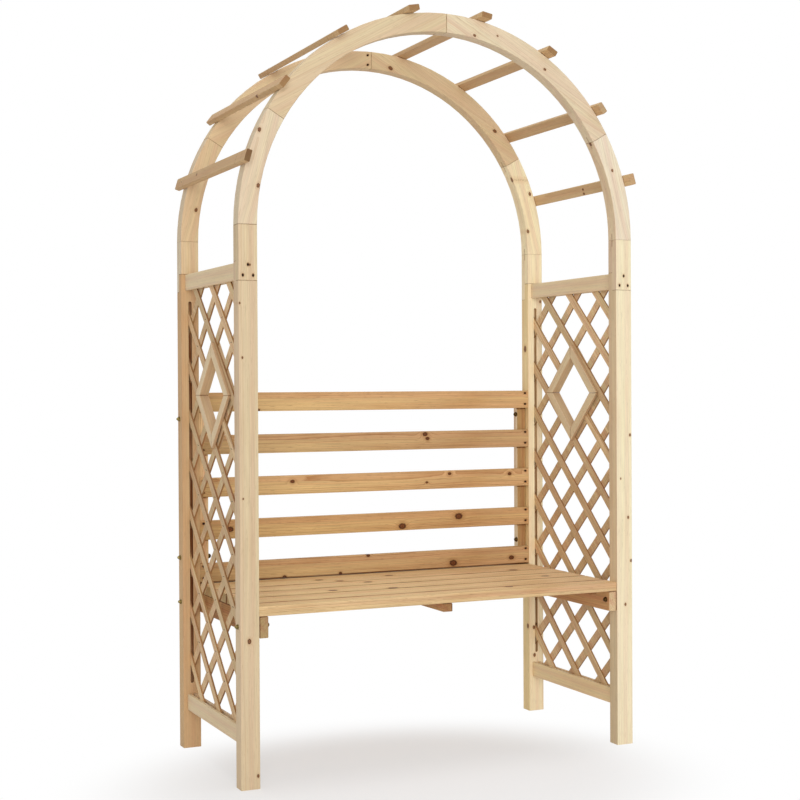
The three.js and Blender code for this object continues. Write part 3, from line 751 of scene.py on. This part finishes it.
def board_material(name, low, high):
    """Wood for one board, whose lowest and highest corners are given in mm."""
    chance = random.Random(name)
    middle = (low + high) / 2
    shade, end_tint, grain, wide = look_of(name)
    material, tree = new_material(name + "_wood")
    grain, wide = Vector(grain).normalized(), Vector(wide).normalized()
    axes = Matrix((grain, wide, grain.cross(wide))).transposed()
    place = add(tree, "TexCoord", output="Object")
    board = board_space(tree, place, middle, axes)
    near, bulge = FAR, 0
    marks = [(point, radius, BRANCH_LENGTH) for *point, radius in knots_of.get(name, ())]
    group, outward, screws = screws_of(name, low, high)
    # Round each screw: iron stain, and painted shade in its recess
    marks += [(point, STAIN_AND_SHADE, STAIN_AND_SHADE_DEPTH) for point in screws]
    for point, radius, length in marks:
        knot = add(tree, "Group", {
            "Board": board, "Middle": axes.inverted() @ (Vector(point) - middle),
            "Branch": axes.inverted() @ branch_at(point, low, high),
            "Radius": radius, "Reach": length, "Near": near, "Bulge": bulge,
        }, node_tree=knot_group).node
        near, bulge = knot.outputs["Near"], knot.outputs["Bulge"]
    sideways = chance.choice((-1, 1)) * chance.uniform(*HEART_ASIDE)
    behind = chance.choice((-1, 1)) * chance.uniform(*HEART_BEHIND)
    normal = add(tree, "NewGeometry", output="Normal")
    facing = add(tree, "VectorMath DOT_PRODUCT", [normal, grain], "Value")
    squareness = add(tree, "Math ABSOLUTE", [facing])
    end = add(tree, "MapRange", [squareness, 0.6, 0.9])
    early_hex, kind = woods[shade]
    tone = chance.uniform(*BOARD_TONE)
    early = Vector(linear(early_hex)[:3]) * tone
    late = early * Vector(SUMMER[kind])
    early, late = (*early, 1), (*late, 1)
    # Painted light and shade on one face of the board
    painted_side_light = DIAMOND_EDGE_SHADE if "_diamond_" in name else painted_side_light_of.get(name)
    if painted_side_light:
        way, tint = painted_side_light
        looks = add(tree, "VectorMath DOT_PRODUCT", [normal, way], "Value")
        share = add(tree, "MapRange", [looks, 0.4, 0.8])
        tinted = add(tree, "Mix", {0: share, 6: (1, 1, 1, 1), 7: (*tint, 1)}, 2, data_type="RGBA")
        early = add(tree, "VectorMath MULTIPLY", [tinted, early[:3]])
        late = add(tree, "VectorMath MULTIPLY", [tinted, late[:3]])
    finish_wood(tree, {
        "Board": board, "Heart": (chance.uniform(*HEART_ALONG), sideways, behind),
        "Year": chance.uniform(*YEAR_WIDTH), "Near": near, "Bulge": bulge,
        "Early wood": early, "Late wood": late, "Figure": FIGURE[kind],
        "End": end, "End tint": (*end_tint, 1), "Seam": darkened(tree, place, seams_and_shade_of(name, low, high)),
    })
    return material


for name, node in nodes.items():
    if node.type != "MESH" or name.endswith("_lattice") or name.startswith("bearer_bolt"):
        continue
    node.data.materials[0] = board_material(name, *box_mm(name))
print("board materials:", sum(m.name.endswith("_wood") for m in bpy.data.materials))

# %% [markdown]
# ## Trellis
# The trellis is two layers of thin strips that cross, each strip ripped from a different board.
# One material serves both layers: which side of the panel a point is on says which way its grain
# runs, and the number of the strip picks a tone of its own.

# %% Write the trellis material
LATTICE_PITCH_Y, LATTICE_PITCH_Z = 145, 135  # mm between crossings
POST_X = 550  # mm, from the middle of the seat to where the two layers meet
STRIP_WOOD = "#e5c9a2"
# Painted shade on the strips' narrow faces, over their rougher, darker sawn wood
SAWN_EDGE_AND_SHADE = (0.52, 0.38, 0.27)  # the rough narrow faces hold more shadow
LAYER_STEP = 50  # added to the numbers of one layer, so that no two strips share one
STRIP_SHIFT = (4000, 90, 90)  # mm, how far apart two strips are taken from the tree, at most
STRIP_TONES = (0.82, 1.08)  # from the darkest strip to the palest
STRIP_HEART, STRIP_YEAR = (0, 40, -60), 3.4  # mm
strip_spacing = LATTICE_PITCH_Y * LATTICE_PITCH_Z / math.hypot(LATTICE_PITCH_Y, LATTICE_PITCH_Z)


def lattice_material(side_name, side):
    """Wood for one panel's two layers of strips."""
    material, tree = new_material(side_name + "_lattice_wood")
    place = add(tree, "TexCoord", output="Object")
    layers = []
    for rise in (1, -1):
        grain = Vector((0, LATTICE_PITCH_Y, rise * LATTICE_PITCH_Z)).normalized()
        axes = Matrix((grain, Vector(X).cross(grain), X)).transposed()
        layers.append(board_space(tree, place, Vector((side * POST_X, 0, DIAMOND_HEIGHT)), axes))
    x = add(tree, "SeparateXYZ", [place], "X")
    behind = add(tree, "Math GREATER_THAN", [x, side * POST_X * MM])
    flat = add(tree, "Mix", {0: behind, 4: layers[0], 5: layers[1]}, 1, data_type="VECTOR")
    width = add(tree, "SeparateXYZ", [flat], "Y")
    count = add(tree, "Math DIVIDE", [width, strip_spacing])
    number = add(tree, "Math ROUND", [count])
    layer_number = add(tree, "Math MULTIPLY_ADD", [behind, LAYER_STEP, number])
    own = add(tree, "TexWhiteNoise", {"W": layer_number}, "Color", noise_dimensions="1D")
    moved = add(tree, "VectorMath MULTIPLY_ADD", [own, STRIP_SHIFT, flat])
    tone = add(tree, "SeparateXYZ", [own], "X")
    level = add(tree, "MapRange", [tone, 0, 1, *STRIP_TONES])
    normal = add(tree, "NewGeometry", output="Normal")
    looks_out = add(tree, "SeparateXYZ", [normal], "X")
    wide_face = add(tree, "Math ABSOLUTE", [looks_out])
    # The narrow faces get the sawn-edge tint and painted shade
    edge = add(tree, "MapRange", [wide_face, 0.4, 0.8, 1, 0])
    early = add(tree, "VectorMath SCALE", {0: linear(STRIP_WOOD)[:3], "Scale": level})
    late = add(tree, "VectorMath MULTIPLY", [early, SUMMER["strip"]])
    finish_wood(tree, {
        "Board": moved, "Heart": STRIP_HEART, "Year": STRIP_YEAR, "Near": FAR,
        "Early wood": early, "Late wood": late, "Figure": FIGURE["strip"],
        "End": edge, "End tint": (*SAWN_EDGE_AND_SHADE, 1),
    })
    return material


for side_name, side in (("left", -1), ("right", 1)):
    nodes[side_name + "_lattice"].data.materials[0] = lattice_material(side_name, side)
print("strips are", round(strip_spacing, 1), "mm apart")

# %% [markdown]
# ## Eased edges
# No edge that comes off a planer and a sanding block is perfectly sharp: each one catches a thin
# line of light. The CAD model has its edges cut off at 45 degrees. Here the loose triangles are
# joined, the corners are rounded over, and the rounded parts are shaded as one smooth surface.

# %% Round the edges of the timber
EASE = 0.7 * MM
SMOOTH_BELOW = math.radians(32)  # the angle below which two faces count as one

joining = bpy.data.node_groups.new("join_triangles", "GeometryNodeTree")
for way in ("INPUT", "OUTPUT"):
    joining.interface.new_socket("Geometry", in_out=way, socket_type="NodeSocketGeometry")
start = joining.nodes.new("NodeGroupInput")
merge = joining.nodes.new("GeometryNodeMergeByDistance")
merge.inputs["Distance"].default_value = 0.01 * MM
forget = joining.nodes.new("GeometryNodeRemoveAttribute")
forget.inputs["Name"].default_value = "custom_normal"
smooth = joining.nodes.new("GeometryNodeSetShadeSmooth")
end = joining.nodes.new("NodeGroupOutput")
for source, target in ((start, merge), (merge, forget), (forget, smooth), (smooth, end)):
    joining.links.new(source.outputs[0], target.inputs[0])

for name, node in nodes.items():
    if node.type != "MESH":
        continue
    node.modifiers.new("join_triangles", "NODES").node_group = joining
    ease = node.modifiers.new("ease_edges", "BEVEL")
    ease.width = EASE
    ease.segments = 2
    ease.limit_method = "ANGLE"
    ease.angle_limit = SMOOTH_BELOW
    ease.harden_normals = False
    weigh = node.modifiers.new("flat_faces_stay_flat", "WEIGHTED_NORMAL")
    weigh.keep_sharp = True
print("eased edges:", EASE / MM, "mm")

# %% [markdown]
# ## The strip behind the seat
# The photograph shows no daylight under the back rest, so something goes on behind the rearmost
# seat slat. It is taken as a strip between the two battens that carry the back rest, with painted
# shade along its front.

# %% Fit the strip
STRIP_DEPTH, STRIP_GAP, STRIP_EASE = 16, 0.3, 1.5  # mm
slat_low, slat_high = box_mm("seat_slat_5")
batten_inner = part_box("back_right_batten")[0].x / MM - STRIP_GAP
strip_low = Vector((-batten_inner, slat_high.y + STRIP_GAP, slat_low.z))
strip_high = Vector((batten_inner, slat_high.y + STRIP_GAP + STRIP_DEPTH, slat_high.z))
shape = bmesh.new()
bmesh.ops.create_cube(shape, size=1)
bmesh.ops.scale(shape, verts=shape.verts, vec=(strip_high - strip_low) * MM)
bmesh.ops.translate(shape, verts=shape.verts, vec=(strip_low + strip_high) / 2 * MM)
bmesh.ops.bevel(shape, geom=shape.edges[:], offset=STRIP_EASE * MM, segments=2, profile=0.5, affect="EDGES")
strip = new_piece("seat_rear_strip", shape, board_material("seat_rear_strip", strip_low, strip_high))
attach(strip, "root")
print("strip in mm:", [round(v) for v in strip_high - strip_low])

# %% [markdown]
# ## Metal
# The screws are steel with a black phosphate coat, which is dull and nearly black. The bolts, cap
# nuts and washers are steel with a yellow zinc plate: a thin metal coat, gold with a green cast,
# bright where it is new and blotched where hands have touched it. The bolt heads sit in shade on
# the inner faces and get a darker, browner copy of the zinc: painted shade.

# %% Write the metals
BLOTCH = 3 * MM


def metal(name, clean, blotched, roughness):
    """Coated steel whose coat is uneven and blotched."""
    material, tree = new_material(name)
    place = add(tree, "TexCoord", output="Object")
    blotch = add(tree, "TexNoise", {"Vector": place, "Scale": 1 / BLOTCH, "Detail": 2})
    share = add(tree, "MapRange", [blotch, 0.4, 0.65])
    colour = add(tree, "Mix", {0: share, 6: linear(clean), 7: linear(blotched)}, 2, data_type="RGBA")
    gloss = add(tree, "MapRange", [blotch, 0, 1, roughness, roughness + 0.2])
    surface = add(tree, "BsdfPrincipled", {"Base Color": colour, "Metallic": 1, "Roughness": gloss})
    fill(tree, tree.nodes.new("ShaderNodeOutputMaterial"), [surface])
    return material


black_steel = metal("black_phosphate_steel", "#1f1a16", "#33281f", 0.5)
yellow_zinc = metal("yellow_zinc_steel", "#9c8a55", "#6e613d", 0.3)
# A darker, browner copy of the zinc: painted shade for the bolt heads
shaded_zinc = metal("shaded_zinc_steel", "#5c4524", "#3d2b14", 0.4)
metals = {
    "cross_screw": black_steel, "nail_head": black_steel, "staple_crown": black_steel,
    "bolt_head": shaded_zinc, "cap_nut": yellow_zinc,
}
print("metals:", black_steel.name, yellow_zinc.name, shaded_zinc.name)

# %% [markdown]
# ## Patterns for the fasteners
# Each kind of fastener is made once, in millimetres, looking along +Z with the wood's face at
# height 0. The copies are then placed all over the seat. Round ones are turned from an outline,
# as on a lathe, which needs only a few points.

# %% Make one of each
ROUND_STEPS, HEX_STEPS = 24, 6
# The rest is in mm.
SCREW_RADIUS, SCREW_SINK = 2.6, 1.6
CROSS_REACH, CROSS_HALF, CROSS_DEPTH = 1.7, 0.4, 1.3
HEAD_HEIGHT, HEAD_RADIUS, HEAD_RIM = 8.4, 6.5, 1
WASHER_RADIUS, WASHER_HEIGHT, WASHER_EASE, HOLE_RADIUS = 7.2, 1.2, 0.3, 3
NUT_RADIUS, NUT_TOP, NUT_EASE_DOWN, NUT_EASE_IN = 5.75, 5.2, 0.6, 0.8
CAP_RADIUS, CAP_TOP, CAP_SINK = 4.2, 9.0, 0.2
NAIL_RADIUS, NAIL_SINK, NAIL_RIM, NAIL_TOP = 2.2, 0.6, 0.05, 0.45
STAPLE_SIZE, STAPLE_EASE = (10, 1.1, 0.9), 0.25


def lathe(shape, outline, steps=ROUND_STEPS):
    """Turns an outline of (radius, height) points round the Z axis."""
    points = [shape.verts.new((radius, 0, height)) for radius, height in outline]
    lines = [shape.edges.new(pair) for pair in zip(points, points[1:])]
    bmesh.ops.spin(shape, geom=points + lines, axis=Z, cent=(0, 0, 0), angle=math.tau, steps=steps)


def dome(radius, bottom, top, steps=6):
    """Outline of a dome, from its rim to its crown."""
    turns = [math.pi / 2 * i / steps for i in range(steps + 1)]
    return [(radius * math.cos(a), bottom + (top - bottom) * math.sin(a)) for a in turns]


def pattern(name, build):
    """A mesh made by one function, cleaned of double points."""
    shape = bmesh.new()
    build(shape)
    bmesh.ops.remove_doubles(shape, verts=shape.verts, dist=0.001)
    bmesh.ops.dissolve_degenerate(shape, edges=shape.edges, dist=0.001)
    bmesh.ops.recalc_face_normals(shape, faces=shape.faces)
    return new_mesh(name, shape)


def cross_screw(shape):
    """A countersunk head with a cross cut into it, a little below the face of the wood."""
    rim = bmesh.ops.create_circle(shape, segments=ROUND_STEPS, radius=SCREW_RADIUS)["verts"]
    arm = [(-CROSS_HALF, CROSS_REACH), (CROSS_HALF, CROSS_REACH), (CROSS_HALF, CROSS_HALF)]
    corners = []
    for _ in range(4):
        corners += [shape.verts.new((x, y, 0)) for x, y in arm]
        arm = [(y, -x) for x, y in arm]
    cross = [shape.edges.new(pair) for pair in zip(corners, corners[1:] + corners[:1])]
    outer = list({edge for point in rim for edge in point.link_edges})
    bmesh.ops.triangle_fill(shape, use_beauty=True, edges=outer + cross)
    walls = bmesh.ops.extrude_edge_only(shape, edges=cross)["geom"]
    bottom = [item for item in walls if isinstance(item, bmesh.types.BMVert)]
    bottom_edges = [item for item in walls if isinstance(item, bmesh.types.BMEdge)]
    bmesh.ops.translate(shape, verts=bottom, vec=(0, 0, -CROSS_DEPTH))
    bmesh.ops.contextual_create(shape, geom=bottom_edges)
    cone = bmesh.ops.extrude_edge_only(shape, edges=outer)["geom"]
    tip = [item for item in cone if isinstance(item, bmesh.types.BMVert)]
    bmesh.ops.scale(shape, verts=tip, vec=(0.5, 0.5, 1))
    bmesh.ops.translate(shape, verts=tip, vec=(0, 0, -2 * CROSS_DEPTH))
    bmesh.ops.translate(shape, verts=shape.verts, vec=(0, 0, -SCREW_SINK))


def washer(shape):
    """A flat ring with an eased rim, under a bolt head or a nut."""
    top = WASHER_HEIGHT
    lathe(shape, [
        (WASHER_RADIUS, 0), (WASHER_RADIUS, top - WASHER_EASE), (WASHER_RADIUS - WASHER_EASE, top),
        (HOLE_RADIUS, top),
    ])


def bolt_head(shape):
    """A domed head on its washer."""
    washer(shape)
    lathe(shape, [(HEAD_RADIUS, WASHER_HEIGHT)] + dome(HEAD_RADIUS, WASHER_HEIGHT + HEAD_RIM, HEAD_HEIGHT))


def cap_nut(shape):
    """A six-sided nut on its washer, closed by a dome."""
    washer(shape)
    lathe(shape, [
        (NUT_RADIUS, WASHER_HEIGHT), (NUT_RADIUS, NUT_TOP - NUT_EASE_DOWN),
        (NUT_RADIUS - NUT_EASE_IN, NUT_TOP), (HOLE_RADIUS, NUT_TOP),
    ], HEX_STEPS)
    lathe(shape, dome(CAP_RADIUS, NUT_TOP - CAP_SINK, CAP_TOP))


def nail_head(shape):
    """A low domed head, its rim just out of the wood."""
    lathe(shape, [(NAIL_RADIUS, -NAIL_SINK)] + dome(NAIL_RADIUS, NAIL_RIM, NAIL_TOP, steps=3))


def staple_crown(shape):
    """The bar of a staple, pressed half into the strip."""
    bmesh.ops.create_cube(shape, size=1)
    bmesh.ops.scale(shape, verts=shape.verts, vec=STAPLE_SIZE)
    bmesh.ops.bevel(shape, geom=shape.edges[:], offset=STAPLE_EASE, segments=2, profile=0.5, affect="EDGES")


patterns = {build.__name__: pattern(build.__name__, build) for build in (
    cross_screw, bolt_head, cap_nut, nail_head, staple_crown,
)}
print({name: len(mesh.polygons) for name, mesh in patterns.items()})

# %% [markdown]
# ## Place the fasteners
# Small things that are alike are joined into one object for each kind and place. A placing matrix
# turns the pattern's +Z to look out of the wood.

# %% Place screws, nails and staples
SMOOTH_ANGLE = math.radians(35)
RUNG_FACE = 590.3  # mm from the centre of the arch to the outer face of a rung
NAIL_Y = 247  # mm, the middle of an arch
STAPLE_FACE = 554.5  # mm from the middle of the seat to the outer face of a lattice
PANEL_REACH_Y, PANEL_LOW, PANEL_HIGH = 200, 175, 1245  # mm, the part of a panel that has staples
DIAMOND_CLEAR = 180  # mm from the diamond's middle, sideways and up added together


def placed(point, outward, spin=0):
    """The matrix that puts a pattern on a face, with its point in mm."""
    look = Vector(outward).to_track_quat("Z", "Y").to_matrix().to_4x4()
    place = Matrix.Translation(Vector(point) * MM)
    return place @ look @ Matrix.Rotation(spin, 4, "Z") @ Matrix.Scale(MM, 4)


def gather(name, parts):
    """One object from (pattern, matrix) pairs."""
    shape = bmesh.new()
    kinds = sorted({kind for kind, matrix in parts})
    for kind, matrix in parts:
        count, face_count = len(shape.verts), len(shape.faces)
        shape.from_mesh(patterns[kind])
        shape.verts.ensure_lookup_table()
        shape.faces.ensure_lookup_table()
        bmesh.ops.transform(shape, matrix=matrix, verts=shape.verts[count:])
        for face in shape.faces[face_count:]:
            face.material_index = kinds.index(kind)
    for face in shape.faces:
        face.smooth = True
    for edge in shape.edges:
        edge.smooth = len(edge.link_faces) == 2 and edge.calc_face_angle() < SMOOTH_ANGLE
    piece = new_piece(name, shape, *(metals[kind] for kind in kinds))
    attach(piece, "root")
    return piece


chance = random.Random(4)
groups = {name: [] for name in (
    "lap_screws", "top_lap_screws", "back_slat_screws", "rung_nails", "trellis_staples",
)}
for name, node in nodes.items():
    if node.type != "MESH":
        continue
    group, outward, points = screws_of(name, *box_mm(name))
    for point in points:
        groups[group].append(("cross_screw", placed(point, outward, chance.uniform(0, 3))))

for i in range(1, 9):
    low, high = box_mm(f"rung_{i}")
    middle = Vector(((low.x + high.x) / 2, 0, (low.z + high.z) / 2 - spring_height))
    outward = middle.normalized()
    for side in (-1, 1):
        point = outward * RUNG_FACE + Vector((chance.uniform(-1, 1), side * NAIL_Y, spring_height))
        groups["rung_nails"].append(("nail_head", placed(point, outward)))

for side in (-1, 1):
    for column in range(-2, 3):
        for row in range(-12, 5):
            y, rise = column * LATTICE_PITCH_Y / 2, row * LATTICE_PITCH_Z / 2
            z = DIAMOND_HEIGHT + rise
            inside = abs(y) < PANEL_REACH_Y and PANEL_LOW < z < PANEL_HIGH
            if (row - column) % 2 == 0 and inside and abs(y) + abs(rise) > DIAMOND_CLEAR:
                point = (side * STAPLE_FACE, y + chance.uniform(-2, 2), z + chance.uniform(-2, 2))
                staple = placed(point, (side, 0, 0), chance.uniform(-0.3, 0.3))
                groups["trellis_staples"].append(("staple_crown", staple))

for name, parts in groups.items():
    gather(name, parts)
    print(name, len(parts))

# %% [markdown]
# ## Bolts
# Two bolts go through each side bearer into its posts, and two through each batten into the back
# post. A domed head and a washer show inside, and a cap nut outside, so that nothing catches a
# sitter's clothes. The four in the bearers stand for the plain bolts of the CAD model.

# %% Place the bolts
BATTEN_BOLT_Y, BATTEN_BOLT_HEIGHTS = 251, (528, 914)  # mm
BATTEN_NUT_TURN = 0.4  # radians
post_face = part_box("front_right_post")[1].x / MM
batten_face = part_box("back_right_batten")[0].x / MM
bearer_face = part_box("seat_right_bearer")[0].x / MM
for side_name, side in (("left", -1), ("right", 1)):
    for frame_name in ("front", "back"):
        node_name = f"bearer_bolt_{frame_name}_{side_name}"
        low, high = box_mm(node_name)
        middle = (low + high) / 2
        head = placed((side * bearer_face, middle.y, middle.z), (-side, 0, 0))
        nut = placed((side * post_face, middle.y, middle.z), (side, 0, 0), chance.uniform(0, 1))
        bolt = gather(f"bolt_{frame_name}_{side_name}", [("bolt_head", head), ("cap_nut", nut)])
        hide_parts(node_name)
    parts = []
    for height in BATTEN_BOLT_HEIGHTS:
        head = placed((side * batten_face, BATTEN_BOLT_Y, height), (-side, 0, 0))
        nut = placed((side * post_face, BATTEN_BOLT_Y, height), (side, 0, 0), BATTEN_NUT_TURN)
        parts += [("bolt_head", head), ("cap_nut", nut)]
    gather(f"batten_bolts_{side_name}", parts)
print("nuts stand on the posts at", round(post_face), "mm")
